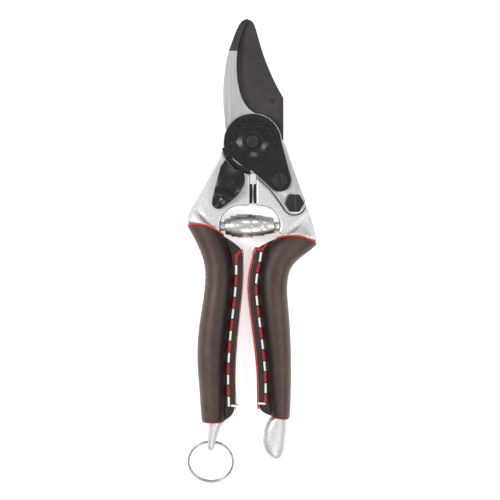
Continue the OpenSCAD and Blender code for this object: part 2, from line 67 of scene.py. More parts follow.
def add_piece(mesh_edit, name):
    """Puts a finished bmesh into the scene as one smooth-shaded piece."""
    mesh = bpy.data.meshes.new(name)
    mesh_edit.to_mesh(mesh)
    mesh_edit.free()
    for face in mesh.polygons:
        face.use_smooth = True
    piece = bpy.data.objects.new(name, mesh)
    bpy.context.scene.collection.objects.link(piece)
    return piece


def welded_copy(node, flat_angle=0.6):
    """The node's own shape, welded; faces that meet within flat_angle degrees are made one."""
    mesh_edit = bmesh.new()
    mesh_edit.from_mesh(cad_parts[node].data)
    bmesh.ops.remove_doubles(mesh_edit, verts=mesh_edit.verts, dist=WELD_DISTANCE)
    if flat_angle:
        bmesh.ops.dissolve_limit(
            mesh_edit,
            angle_limit=math.radians(flat_angle),
            verts=mesh_edit.verts,
            edges=mesh_edit.edges,
        )
    return mesh_edit


def folded_edges(mesh_edit, angle):
    """The edges between two faces that meet at more than the angle."""
    return [edge for edge in mesh_edit.edges
            if len(edge.link_faces) == 2 and edge.calc_face_angle(0) > angle]


def chamfered(node, name, width, segments):
    """The node's shape with every sharp edge rounded, as turned and ground parts have."""
    mesh_edit = welded_copy(node)
    for crease in folded_edges(mesh_edit, CREASE_ANGLE):
        crease.smooth = min(face.calc_area() for face in crease.link_faces) < LARGE_FACE
    piece = add_piece(mesh_edit, name)
    edge = piece.modifiers.new("edge break", "BEVEL")
    edge.width = width * MM
    edge.segments = segments
    edge.limit_method = "ANGLE"
    edge.angle_limit = EDGE_BREAK_ANGLE
    edge.profile = 0.5
    edge.miter_outer = "MITER_ARC"
    edge.use_clamp_overlap = True
    edge.harden_normals = True
    return piece


def sweep(mesh_edit, profile, placements):
    """Extrudes a capped profile face through a row of placements, each a 4x4 matrix."""
    # the first face stays behind as the near cap; each later one goes once it is passed
    face = profile["verts"][0].link_faces[:1]
    bmesh.ops.transform(mesh_edit, matrix=placements[0], verts=profile["verts"])
    for number, (before, after) in enumerate(zip(placements, placements[1:])):
        grown = bmesh.ops.extrude_face_region(mesh_edit, geom=face)
        old = face
        face = [g for g in grown["geom"] if isinstance(g, bmesh.types.BMFace)]
        moved = [g for g in grown["geom"] if isinstance(g, bmesh.types.BMVert)]
        bmesh.ops.transform(mesh_edit, matrix=after @ before.inverted(), verts=moved)
        if number:
            bmesh.ops.delete(mesh_edit, geom=old, context="FACES_ONLY")
    bmesh.ops.recalc_face_normals(mesh_edit, faces=mesh_edit.faces)


def apply_modifiers(piece):
    """Fixes a piece's modifiers into its mesh."""
    graph = bpy.context.evaluated_depsgraph_get()
    mesh = bpy.data.meshes.new_from_object(piece.evaluated_get(graph))
    old = piece.data
    piece.modifiers.clear()
    piece.data = mesh
    bpy.data.meshes.remove(old)


def settle(piece, body, material, nodes=()):
    """Says what a finished piece rides on, what it stands for and what it is made of."""
    piece.data.materials.clear()
    piece.data.materials.append(material)
    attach(piece, body)
    if nodes:
        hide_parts(*nodes)


# ---- shader groups ----


def new_group(name, inputs, outputs):
    """A shader node group with the named inputs (name, type, default) and outputs."""
    tree = bpy.data.node_groups.new(name, "ShaderNodeTree")
    for label, kind, value in inputs:
        socket = tree.interface.new_socket(name=label, in_out="INPUT", socket_type=kind)
        if value is not None:
            socket.default_value = value
    for label, kind in outputs:
        tree.interface.new_socket(name=label, in_out="OUTPUT", socket_type=kind)
    start = tree.nodes.new("NodeGroupInput")
    end = tree.nodes.new("NodeGroupOutput")
    return tree, start, end


def noise_node(tree, scale, detail, rough, distortion=0.0):
    """Noise with scale cells in a metre."""
    node = tree.nodes.new("ShaderNodeTexNoise")
    node.inputs["Scale"].default_value = scale
    node.inputs["Detail"].default_value = detail
    node.inputs["Roughness"].default_value = rough
    node.inputs["Distortion"].default_value = distortion
    return node


def math_node(tree, operation, a, b, clamp=False):
    """Joins two values, each a number or another node's output."""
    node = tree.nodes.new("ShaderNodeMath")
    node.operation = operation
    node.use_clamp = clamp
    for index, value in enumerate((a, b)):
        if hasattr(value, "is_output"):
            tree.links.new(value, node.inputs[index])
        else:
            node.inputs[index].default_value = value
    return node.outputs[0]


def ramp(tree, factor, stops):
    """Maps a factor through a row of (position, grey or colour) stops."""
    node = tree.nodes.new("ShaderNodeValToRGB")
    elements = node.color_ramp.elements
    while len(elements) < len(stops):
        elements.new(0.5)
    for element, (position, value) in zip(elements, stops):
        element.position = position
        element.color = (*value, 1) if isinstance(value, tuple) else (value, value, value, 1)
    tree.links.new(factor, node.inputs["Fac"])
    return node.outputs["Color"]


def mix_colour(tree, factor, a, b, blend="MIX"):
    """Mixes two colours, each a tuple or another node's output."""
    node = tree.nodes.new("ShaderNodeMix")
    node.data_type = "RGBA"
    node.blend_type = blend
    # a Mix node keeps its colour sockets at places 6 and 7, and its colour result at 2
    for socket, value in ((node.inputs[0], factor), (node.inputs[6], a), (node.inputs[7], b)):
        if hasattr(value, "is_output"):
            tree.links.new(value, socket)
        elif isinstance(value, tuple):
            socket.default_value = (*value, 1)
        else:
            socket.default_value = value
    return node.outputs[2]


def object_place(tree, turn=0):
    """Object coordinates, turned about Z by so many degrees."""
    coordinates = tree.nodes.new("ShaderNodeTexCoord")
    mapping = tree.nodes.new("ShaderNodeMapping")
    mapping.inputs["Rotation"].default_value = (0, 0, math.radians(turn))
    tree.links.new(coordinates.outputs["Object"], mapping.inputs["Vector"])
    return mapping.outputs["Vector"]


def make_speckle_group():
    """Even, fine unevenness: a height and a soft mask, from a grain size in mm."""
    tree, start, end = new_group(
        "fine grain",
        [("Place", "NodeSocketVector", None), ("Grain", "NodeSocketFloat", 1.0)],
        [("Height", "NodeSocketFloat"), ("Mask", "NodeSocketFloat")],
    )
    fine = noise_node(tree, 1 / MM, 2.0, 0.55)
    broad = noise_node(tree, 60.0, 3.0, 0.6)
    tree.links.new(start.outputs["Place"], fine.inputs["Vector"])
    tree.links.new(start.outputs["Place"], broad.inputs["Vector"])
    cells_per_metre = math_node(tree, "DIVIDE", 1 / MM, start.outputs["Grain"])
    tree.links.new(cells_per_metre, fine.inputs["Scale"])
    tree.links.new(fine.outputs["Fac"], end.inputs["Height"])
    tree.links.new(broad.outputs["Fac"], end.inputs["Mask"])
    return tree


# How much finer a ground line is across than along
LINE_STRETCH = 0.03


def make_ground_lines_group():
    """Fine lines left by grinding, which run along the second axis of Place."""
    tree, start, end = new_group(
        "grinding lines",
        [("Place", "NodeSocketVector", None)],
        [("Height", "NodeSocketFloat"), ("Mask", "NodeSocketFloat")],
    )
    stretched = tree.nodes.new("ShaderNodeMapping")
    stretched.inputs["Scale"].default_value = (1.0, LINE_STRETCH, 1.0)
    tree.links.new(start.outputs["Place"], stretched.inputs["Vector"])
    fine = noise_node(tree, 2600.0, 3.0, 0.6)
    broad = noise_node(tree, 1100.0, 2.0, 0.5)
    for node in (fine, broad):
        tree.links.new(stretched.outputs["Vector"], node.inputs["Vector"])
    height = math_node(
        tree, "ADD", math_node(tree, "MULTIPLY", fine.outputs["Fac"], 0.65),
        math_node(tree, "MULTIPLY", broad.outputs["Fac"], 0.35),
    )
    tree.links.new(height, end.inputs["Height"])
    tree.links.new(broad.outputs["Fac"], end.inputs["Mask"])
    return tree


def make_edge_wear_group():
    """White on worn edges, black elsewhere."""
    tree, start, end = new_group(
        "edge wear",
        [("Place", "NodeSocketVector", None), ("Amount", "NodeSocketFloat", 0.5)],
        [("Mask", "NodeSocketFloat")],
    )
    geometry = tree.nodes.new("ShaderNodeNewGeometry")
    scuffs = noise_node(tree, 700.0, 4.0, 0.65)
    tree.links.new(start.outputs["Place"], scuffs.inputs["Vector"])
    raised = ramp(tree, geometry.outputs["Pointiness"], [(0.52, 0.0), (0.62, 1.0)])
    rough = ramp(tree, scuffs.outputs["Fac"], [(0.35, 0.2), (0.65, 1.0)])
    worn = math_node(tree, "MULTIPLY", raised, rough)
    mask = math_node(tree, "MULTIPLY", worn, start.outputs["Amount"], clamp=True)
    tree.links.new(mask, end.inputs["Mask"])
    return tree


def make_leather_group():
    """Smooth leather: its pores and fine creases, and a broad mottle."""
    tree, start, end = new_group(
        "leather grain",
        [("Place", "NodeSocketVector", None)],
        [
            ("Height", "NodeSocketFloat"),
            ("Mottle", "NodeSocketFloat"),
            ("Crease", "NodeSocketFloat"),
        ],
    )
    cells = tree.nodes.new("ShaderNodeTexVoronoi")
    cells.feature = "DISTANCE_TO_EDGE"
    cells.inputs["Scale"].default_value = 1500.0
    warp = noise_node(tree, 500.0, 2.0, 0.5)
    tree.links.new(start.outputs["Place"], warp.inputs["Vector"])
    shifted = tree.nodes.new("ShaderNodeVectorMath")
    shifted.operation = "MULTIPLY_ADD"
    shifted.inputs[1].default_value = (0.6 * MM,) * 3
    tree.links.new(warp.outputs["Color"], shifted.inputs[0])
    tree.links.new(start.outputs["Place"], shifted.inputs[2])
    tree.links.new(shifted.outputs[0], cells.inputs["Vector"])
    pores = noise_node(tree, 2600.0, 2.0, 0.6)
    broad = noise_node(tree, 70.0, 4.0, 0.62)
    fold = noise_node(tree, 240.0, 3.0, 0.6, 0.4)
    for node in (pores, broad, fold):
        tree.links.new(start.outputs["Place"], node.inputs["Vector"])
    between_cells = ramp(tree, cells.outputs["Distance"], [(0.0, 0.0), (0.16, 1.0)])
    soft_height = math_node(
        tree, "ADD", math_node(tree, "MULTIPLY", pores.outputs["Fac"], 0.25),
        math_node(tree, "MULTIPLY", fold.outputs["Fac"], 0.6),
    )
    creases = math_node(tree, "MULTIPLY", between_cells, 0.45)
    tree.links.new(math_node(tree, "ADD", creases, soft_height), end.inputs["Height"])
    tree.links.new(broad.outputs["Fac"], end.inputs["Mottle"])
    tree.links.new(between_cells, end.inputs["Crease"])
    return tree


FINE_GRAIN = make_speckle_group()
GRINDING = make_ground_lines_group()
EDGE_WEAR = make_edge_wear_group()
LEATHER_GRAIN = make_leather_group()


# ---- materials ----


def new_material(name, colour, metallic, roughness, **settings):
    """A material with a Principled BSDF; settings go onto the shader's own sockets."""
    material = bpy.data.materials.new(name)
    material.use_nodes = True
    tree = material.node_tree
    shader = tree.nodes["Principled BSDF"]
    shader.inputs["Base Color"].default_value = (*colour, 1)
    shader.inputs["Metallic"].default_value = metallic
    shader.inputs["Roughness"].default_value = roughness
    for label, value in settings.items():
        shader.inputs[label.replace("_", " ")].default_value = value
    return material, tree, shader


def place_group(tree, group, place, **values):
    """Puts a shader group into a material with its own values."""
    node = tree.nodes.new("ShaderNodeGroup")
    node.node_tree = group
    tree.links.new(place, node.inputs["Place"])
    for label, value in values.items():
        node.inputs[label].default_value = value
    return node


def bump(tree, shader, height, depth, strength):
    """Feeds a height into the shader's normal; depth is in mm."""
    node = tree.nodes.new("ShaderNodeBump")
    node.inputs["Distance"].default_value = depth * MM
    node.inputs["Strength"].default_value = strength
    tree.links.new(height, node.inputs["Height"])
    tree.links.new(node.outputs["Normal"], shader.inputs["Normal"])


def vary(tree, shader, socket, factor, stops):
    """Lets a colour or the roughness change over the surface with a factor."""
    tree.links.new(ramp(tree, factor, stops), shader.inputs[socket])


def forged_aluminium():
    """Blasted and tumbled aluminium, satin, a little brighter along its edges."""
    material, tree, shader = new_material("forged aluminium", (0.80, 0.80, 0.80), 1.0, 0.36)
    place = object_place(tree)
    grain = place_group(tree, FINE_GRAIN, place, Grain=0.55)
    wear = place_group(tree, EDGE_WEAR, place, Amount=0.6)
    tint = ramp(tree, grain.outputs["Mask"], [(0.3, 0.68), (0.7, 0.76)])
    pits = ramp(tree, grain.outputs["Height"], [(0.34, 0.72), (0.6, 1.0)])
    pitted = mix_colour(tree, 1.0, tint, pits, "MULTIPLY")
    edged = mix_colour(tree, wear.outputs["Mask"], pitted, (0.88, 0.88, 0.88))
    tree.links.new(edged, shader.inputs["Base Color"])
    vary(tree, shader, "Roughness", grain.outputs["Height"], [(0.3, 0.42), (0.7, 0.58)])
    bump(tree, shader, grain.outputs["Height"], 0.14, 0.55)
    return material


def hook_steel():
    """Bright ground steel with grinding lines along the blade."""
    material, tree, shader = new_material("ground steel", (0.74, 0.73, 0.71), 1.0, 0.3)
    place = object_place(tree)
    lines = place_group(tree, GRINDING, place)
    vary(tree, shader, "Base Color", lines.outputs["Mask"],
         [(0.3, (0.50, 0.49, 0.48)), (0.7, (0.62, 0.61, 0.60))])
    vary(tree, shader, "Roughness", lines.outputs["Height"], [(0.3, 0.36), (0.7, 0.5)])
    bump(tree, shader, lines.outputs["Height"], 0.02, 0.4)
    return material


def coated_steel():
    """The cutting blade's thin brown-black coating."""
    material, tree, shader = new_material(
        "coated blade steel", (0.045, 0.04, 0.038), 0.0, 0.4, Specular_IOR_Level=0.4,
    )
    place = object_place(tree)
    grain = place_group(tree, FINE_GRAIN, place, Grain=0.6)
    vary(tree, shader, "Base Color", grain.outputs["Mask"],
         [(0.3, (0.022, 0.018, 0.017)), (0.75, (0.042, 0.035, 0.032))])
    vary(tree, shader, "Roughness", grain.outputs["Height"], [(0.3, 0.36), (0.7, 0.5)])
    bump(tree, shader, grain.outputs["Height"], 0.03, 0.3)
    return material


def black_oxide(name, dark, light, roughness):
    """Blackened steel, satin, a little uneven."""
    material, tree, shader = new_material(name, dark, 0.0, roughness, Specular_IOR_Level=0.4)
    place = object_place(tree)
    grain = place_group(tree, FINE_GRAIN, place, Grain=0.35)
    vary(tree, shader, "Base Color", grain.outputs["Mask"], [(0.3, dark), (0.7, light)])
    vary(tree, shader, "Roughness", grain.outputs["Height"],
         [(0.3, roughness - 0.06), (0.7, roughness + 0.1)])
    bump(tree, shader, grain.outputs["Height"], 0.04, 0.35)
    return material


def matt_black(name, colour, roughness, depth):
    """Moulded plastic or rubber with a fine eroded texture."""
    material, tree, shader = new_material(name, colour, 0.0, roughness, Specular_IOR_Level=0.35)
    place = object_place(tree)
    grain = place_group(tree, FINE_GRAIN, place, Grain=0.3)
    lighter = tuple(1.7 * channel for channel in colour)
    vary(tree, shader, "Base Color", grain.outputs["Mask"], [(0.3, colour), (0.7, lighter)])
    vary(tree, shader, "Roughness", grain.outputs["Height"],
         [(0.3, roughness - 0.07), (0.7, roughness + 0.07)])
    bump(tree, shader, grain.outputs["Height"], depth, 0.5)
    return material


def brown_leather():
    """Dark brown waxed leather, with painted shade towards the flange from the piece's shade
    attribute.
    """
    material, tree, shader = new_material(
        "brown leather", (0.1, 0.06, 0.045), 0.0, 0.5, Specular_IOR_Level=0.38,
    )
    place = object_place(tree)
    grain = place_group(tree, LEATHER_GRAIN, place)
    mottled = ramp(tree, grain.outputs["Mottle"], [
        (0.3, (0.062, 0.034, 0.022)),
        (0.55, (0.086, 0.05, 0.034)),
        (0.8, (0.116, 0.071, 0.05)),
    ])
    creased = mix_colour(tree, grain.outputs["Crease"], (0.03, 0.018, 0.013), mottled)
    # painted shade: the shade attribute darkens the leather to near-black brown on the flange and
    # on the grip's side that faces it
    painted_shade = tree.nodes.new("ShaderNodeAttribute")
    painted_shade.attribute_name = "shade"
    shaded = mix_colour(tree, painted_shade.outputs["Fac"], creased, (0.011, 0.0055, 0.004))
    tree.links.new(shaded, shader.inputs["Base Color"])
    vary(tree, shader, "Roughness", grain.outputs["Height"], [(0.3, 0.3), (0.9, 0.46)])
    bump(tree, shader, grain.outputs["Height"], 0.12, 0.5)
    return material


def edge_paint():
    """Red lining leather with painted edges, a little uneven."""
    material, tree, shader = new_material("red lining", (0.55, 0.025, 0.02), 0.0, 0.5)
    place = object_place(tree)
    grain = place_group(tree, FINE_GRAIN, place, Grain=0.5)
    vary(tree, shader, "Base Color", grain.outputs["Mask"],
         [(0.3, (0.5, 0.016, 0.012)), (0.7, (0.78, 0.05, 0.03))])
    vary(tree, shader, "Roughness", grain.outputs["Height"], [(0.3, 0.42), (0.7, 0.6)])
    bump(tree, shader, grain.outputs["Height"], 0.1, 0.5)
    return material


def waxed_thread(name, dark, light):
    """Waxed thread, its twisted plies showing as slanting bands."""
    material, tree, shader = new_material(name, light, 0.0, 0.6, Sheen_Weight=0.2)
    place = object_place(tree)
    plies = tree.nodes.new("ShaderNodeTexWave")
    plies.wave_type = "BANDS"
    plies.bands_direction = "DIAGONAL"
    plies.inputs["Scale"].default_value = 900.0
    plies.inputs["Distortion"].default_value = 1.5
    tree.links.new(place, plies.inputs["Vector"])
    vary(tree, shader, "Base Color", plies.outputs["Fac"], [(0.1, dark), (0.6, light)])
    vary(tree, shader, "Roughness", plies.outputs["Fac"], [(0.0, 0.75), (1.0, 0.5)])
    bump(tree, shader, plies.outputs["Fac"], 0.12, 0.6)
    return material


def polished_metal(name, dark, light, roughness):
    """Plated or hard-drawn bright metal with light drawing marks."""
    material, tree, shader = new_material(name, light, 1.0, roughness)
    place = object_place(tree, turn=90)
    lines = place_group(tree, GRINDING, place)
    vary(tree, shader, "Base Color", lines.outputs["Mask"], [(0.3, dark), (0.7, light)])
    vary(tree, shader, "Roughness", lines.outputs["Height"],
         [(0.3, roughness - 0.05), (0.7, roughness + 0.08)])
    bump(tree, shader, lines.outputs["Height"], 0.02, 0.3)
    return material


ALUMINIUM = forged_aluminium()
GROUND_STEEL = hook_steel()
COATED_STEEL = coated_steel()
BLACK_STEEL = black_oxide("black nut steel", (0.005, 0.005, 0.006), (0.011, 0.011, 0.011), 0.24)
SCREW_STEEL = black_oxide("browned screw steel", (0.012, 0.011, 0.011), (0.026, 0.024, 0.023), 0.28)
PLAIN_STEEL = polished_metal("plain steel", (0.42, 0.41, 0.4), (0.6, 0.59, 0.58), 0.35)
CATCH_BLACK = matt_black("catch moulding", (0.006, 0.006, 0.007), 0.26, 0.02)
RUBBER = matt_black("buffer rubber", (0.008, 0.008, 0.008), 0.62, 0.08)
LEATHER = brown_leather()
RED_EDGE = edge_paint()
WHITE_THREAD = waxed_thread("white thread", (0.7, 0.68, 0.62), (0.98, 0.97, 0.93))
RED_THREAD = waxed_thread("red thread", (0.16, 0.004, 0.004), (0.52, 0.012, 0.012))
SPRING_STEEL = polished_metal("spring strip", (0.6, 0.57, 0.54), (0.8, 0.78, 0.76), 0.26)
NICKEL = polished_metal("nickel wire", (0.28, 0.275, 0.27), (0.42, 0.415, 0.41), 0.34)


# ---- handles, catch, nut and segment ----

# A face takes a pressed line where it looks along Z by more than this
FACING = 0.4


def one_skin(node, name, voxel, passes):
    """The node's shape with its faces run into each other, as in a forging or a moulding.

    voxel is the finest detail kept, in mm, and passes is how often the skin is smoothed.
    """
    piece = add_piece(welded_copy(node, flat_angle=0), name)
    remesh = piece.modifiers.new("one skin", "REMESH")
    remesh.mode = "VOXEL"
    remesh.voxel_size = voxel * MM
    apply_modifiers(piece)
    mesh_edit = bmesh.new()
    mesh_edit.from_mesh(piece.data)
    for _ in range(passes):
        bmesh.ops.smooth_vert(
            mesh_edit, verts=mesh_edit.verts, factor=0.5, use_axis_x=True, use_axis_y=True,
            use_axis_z=True,
        )
    mesh_edit.to_mesh(piece.data)
    mesh_edit.free()
    for face in piece.data.polygons:
        face.use_smooth = True
    return piece


def press_line(piece, start, end, depth, width, both_faces=False):
    """Sinks the front face along a line, or raises it where depth is negative (all in mm)."""
    start, end = Vector(start), Vector(end)
    middle = sum(corner[2] for corner in piece.bound_box) / 8
    normals = [vertex.normal.copy() for vertex in piece.data.vertices]
    for vertex, normal in zip(piece.data.vertices, normals):
        if (abs(normal.z) if both_faces else normal.z) < FACING:
            continue
        place = Vector(vertex.co.xy) / MM
        reach = (place - start).dot(end - start) / (end - start).length_squared
        nearest = start + max(0.0, min(1.0, reach)) * (end - start)
        sink = depth * MM * math.exp(-((place - nearest).length / width) ** 2)
        vertex.co.z += -sink if vertex.co.z > middle else sink


# Where the flat web turns up into each handle's shoulder
SHOULDER_CREASE = {"left": ((-27, -32.4), (-20.6, -40.4)), "right": ((27, -35.8), (16, -45))}

for side, body in BODY_OF.items():
    forging = one_skin(f"{side}_handle", f"handle_{side}", voxel=0.52, passes=6)
    press_line(forging, *SHOULDER_CREASE[side], depth=0.6, width=1.1, both_faces=True)
    settle(forging, body, ALUMINIUM, [f"{side}_handle"])

lever = one_skin("thumb_catch", "catch_lever", voxel=0.22, passes=3)
# the hollow for the thumb, the pad beside it and the ridge along the tail
press_line(lever, (-19, -23.4), (-10.5, -26.6), depth=0.45, width=1.6)
press_line(lever, (-9.6, -21), (-8.6, -23.6), depth=-0.45, width=1.9)
press_line(lever, (-14.2, -27.6), (-17, -31), depth=-0.4, width=1.0)
settle(lever, "thumb_catch", CATCH_BLACK, ["thumb_catch"])

toothed_nut = one_skin("adjusting_nut", "nut_toothed", voxel=0.17, passes=2)
settle(toothed_nut, HOOK_SIDE, BLACK_STEEL, ["adjusting_nut"])

segment = one_skin("locking_segment", "segment_toothed", voxel=0.19, passes=2)
settle(segment, HOOK_SIDE, BLACK_STEEL, ["locking_segment"])


# ---- blades and pivot hardware ----

# Beyond this Y (mm) the hook's sloped tip facet takes the dark blade material as painted shade, for
# how the facet catches the light
PAINTED_SHADE_TIP = 44.6

# node, piece, body, width of its broken edges (mm) and their segments, material, slot
HARDWARE = (
    ("hook_blade", "blade_hook", HOOK_SIDE, 0.35, 2, GROUND_STEEL, "ground_steel"),
    ("cutting_blade", "blade_cutting", BLADE_SIDE, 0.25, 2, COATED_STEEL, "coated_blade_steel"),
    ("blade_rivets", "rivets", BLADE_SIDE, 0.15, 2, PLAIN_STEEL, "plain_steel"),
    ("catch_pin", "catch_pivot_pin", BLADE_SIDE, 0.15, 2, PLAIN_STEEL, "plain_steel"),
    ("catch_washer", "catch_spacer", BLADE_SIDE, 0.06, 2, PLAIN_STEEL, "plain_steel"),
    ("left_bumper", "buffer_left", BLADE_SIDE, 0.2, 2, RUBBER, "buffer_rubber"),
    ("right_bumper", "buffer_right", HOOK_SIDE, 0.2, 2, RUBBER, "buffer_rubber"),
    ("pivot_bolt", "bolt_pivot", HOOK_SIDE, 0.25, 2, SCREW_STEEL, "black_hardware"),
    ("segment_screw", "screw_segment", HOOK_SIDE, 0.5, 4, SCREW_STEEL, "black_hardware"),
    ("anvil_bolt", "bolt_hook_tail", HOOK_SIDE, 0.5, 4, SCREW_STEEL, "black_hardware"),
    ("anvil_nut", "nut_hook_tail", HOOK_SIDE, 0.2, 2, SCREW_STEEL, "black_hardware"),
)

for node, name, body, width, segments, material, slot in HARDWARE:
    piece = chamfered(node, name, width, segments)
    settle(piece, body, material, [node])
    if node == "hook_blade":
        # painted shade: the tip facet's faces take the dark blade material
        piece.data.materials.append(COATED_STEEL)
        for face in piece.data.polygons:
            face.material_index = int(face.center.y > PAINTED_SHADE_TIP * MM and face.normal.z > -0.5)


# ---- leather grips ----


def quad_copy(node, name):
    """The node's loft, welded back into quads."""
    mesh_edit = welded_copy(node, flat_angle=0)
    bmesh.ops.join_triangles(
        mesh_edit, faces=mesh_edit.faces, angle_face_threshold=math.radians(50),
        angle_shape_threshold=math.radians(80),
    )
    bmesh.ops.recalc_face_normals(mesh_edit, faces=mesh_edit.faces)
    return add_piece(mesh_edit, name)


# The folds in each grip's bend: their middle along Y, reach, spacing and height, in mm
FOLDS_Y = {"left": -59, "right": -66}
FOLD_REACH = 9
FOLD_SPACING = 2.1
FOLD_HEIGHT = 0.15

# The flange's faces lie this close to the grip's middle height (mm), and get this much painted
# shade
FLANGE_HALF = 1.75
FLANGE_SHADE = 0.8

LEATHER_CREASE_ANGLE = math.radians(48)
LEATHER_CREASE = 0.85


def smooth_step(value):
    """Eases a value from 0 to 1, level at both ends."""
    value = max(0.0, min(1.0, value))
    return value * value * (3 - 2 * value)


def leather_grip(side, body):
    """Leather wrapped round the handle and sewn along a flange, with slight folds in its bend."""
    piece = quad_copy(f"{side}_leather", f"leather_{side}")
    mesh_edit = bmesh.new()
    mesh_edit.from_mesh(piece.data)
    crease = mesh_edit.edges.layers.float.new("crease_edge")
    for edge in folded_edges(mesh_edit, LEATHER_CREASE_ANGLE):
        edge[crease] = LEATHER_CREASE
    mesh_edit.to_mesh(piece.data)
    mesh_edit.free()
    round_off = piece.modifiers.new("rounding", "SUBSURF")
    round_off.levels = round_off.render_levels = 2
    apply_modifiers(piece)
    inward = 1 if side == "left" else -1
    shade = piece.data.attributes.new("shade", "FLOAT", "POINT")
    normals = [vertex.normal.copy() for vertex in piece.data.vertices]
    for vertex, normal in zip(piece.data.vertices, normals):
        # painted shade on the flange, and on the side of the grip that faces it, which the lamps
        # light less
        flange = abs(vertex.co.z - GRIP_Z) < FLANGE_HALF * MM and abs(normal.z) > 0.8
        facing = smooth_step((normal.x * inward + 0.2) / 0.9)
        shade.data[vertex.index].value = FLANGE_SHADE if flange else facing
    for vertex, normal in zip(piece.data.vertices, normals):
        # shallow folds across the hollow of the bend
        place = vertex.co / MM
        along = max(0.0, 1 - ((place.y - FOLDS_Y[side]) / FOLD_REACH) ** 2)
        near = min(1.0, 1.6 * along * max(0.0, -normal.x * inward))
        waver = 0.5 * math.sin(place.z + place.y / 3)
        ridge = math.sin(2 * math.pi * place.y / FOLD_SPACING + waver)
        vertex.co += normal * (FOLD_HEIGHT * MM * near * ridge)
    settle(piece, body, LEATHER, [f"{side}_leather"])


def lining_edge(side, body):
    """The red lining, which shows along the leather's edges."""
    piece = quad_copy(f"{side}_lining", f"lining_{side}")
    settle(piece, body, RED_EDGE, [f"{side}_lining"])


# How much fuller each thread is drawn sideways, and how far it sinks into the leather (mm)
THREAD_FULLER = {"red": 0.3, "white": 0.12}
THREAD_SINK = 0.22
THREAD_END_ANGLE = math.radians(60)


def sewn_thread(side, colour, body, material):
    """Short stitches pressed into the leather, rounded over at both ends."""
    node = f"{side}_{colour}_thread"
    mesh_edit = welded_copy(node, flat_angle=4)
    bmesh.ops.bevel(
        mesh_edit, geom=folded_edges(mesh_edit, THREAD_END_ANGLE), offset=0.32 * MM,
        affect="EDGES", segments=3, profile=0.5, material=-1, clamp_overlap=True,
    )
    mesh_edit.normal_update()
    for vertex in mesh_edit.verts:
        vertex.co.x += vertex.normal.x * THREAD_FULLER[colour] * MM
        vertex.co.z += (-THREAD_SINK if vertex.co.z > GRIP_Z else THREAD_SINK) * MM
    piece = add_piece(mesh_edit, f"stitches_{side}_{colour}")
    settle(piece, body, material, [node])


# A stitch over the flange's edge: half its thickness, its height over the middle, how far it
# stands off the edge and how far from its hole it comes up, in mm
WRAP_THREAD = {"red": 0.7, "white": 0.55}
WRAP_HEIGHT = 1.85
WRAP_BULGE = 0.7
WRAP_RISE = 0.35


def edge_wrap(side, number, colour, material, seam, rim):
    """A stitch that runs from the seam over the flange's edge and back on the other side."""
    seam, rim = (Vector((*place, GRIP_HEIGHT)) * MM for place in (seam, rim))
    out = (rim - seam).normalized()
    axis = out.cross(Vector((0, 0, 1)))
    lying = out.to_track_quat("Z", "Y").to_matrix().to_4x4()
    height = Vector((0, 0, WRAP_HEIGHT * MM))
    risen = seam + out * WRAP_RISE * MM
    # each point of the thread's path, and how far it has turned over there, in degrees
    path = [(seam + 0.72 * height, 30), (risen + 0.97 * height, 8)]
    for angle in range(0, 181, 15):
        turned = math.radians(angle)
        over = out * WRAP_BULGE * MM * math.sin(turned) + height * math.cos(turned)
        path.append((rim + over, -angle))
    path += [(risen - 0.97 * height, -188), (seam - 0.72 * height, -210)]
    placements = [
        Matrix.Translation(point) @ Matrix.Rotation(math.radians(angle), 4, axis) @ lying
        for point, angle in path
    ]
    mesh_edit = bmesh.new()
    strand = bmesh.ops.create_circle(
        mesh_edit, cap_ends=True, radius=WRAP_THREAD[colour] * MM, segments=12,
    )
    sweep(mesh_edit, strand, placements)
    piece = add_piece(mesh_edit, f"edge_stitch_{side}_{number}")
    settle(piece, BODY_OF[side], material)


for side, body in BODY_OF.items():
    leather_grip(side, body)
    lining_edge(side, body)
    sewn_thread(side, "white", body, WHITE_THREAD)
    sewn_thread(side, "red", body, RED_THREAD)

edge_wrap("left", 1, "red", RED_THREAD, (-8.0, -55.0), (-6.2, -53.2))
edge_wrap("left", 2, "white", WHITE_THREAD, (-10.4, -128.6), (-8.0, -128.6))
edge_wrap("right", 1, "red", RED_THREAD, (4.6, -51.9), (2.4, -51.5))
edge_wrap("right", 2, "white", WHITE_THREAD, (6.6, -127.6), (3.6, -127.4))


# ---- volute spring ----


SPRING_MIDDLE = Vector((-3.8, -40.4, GRIP_HEIGHT)) * MM
# The turns on each side of the middle, and how far along X each one steps (mm)
SPRING_TURNS = 2.4
SPRING_STEPS = 40
LEFT_PITCH = 2.9
RIGHT_PITCH = 5.3
STRIP_WIDTH = 7.6
STRIP_THICKNESS = 0.5
# The cones' widest radius and how much each turn takes off it (mm), and more so past CONE_BEND
CONE_RADIUS = 6.1
CONE_TAPER = 0.58
END_TAPER = 0.5
CONE_BEND = 1.3
# How far each band leans with its cone, in degrees a turn
CONE_LEAN = 4
END_LEAN = 9
# How much of each step along X falls behind the spring
SIDESTEP = 0.85


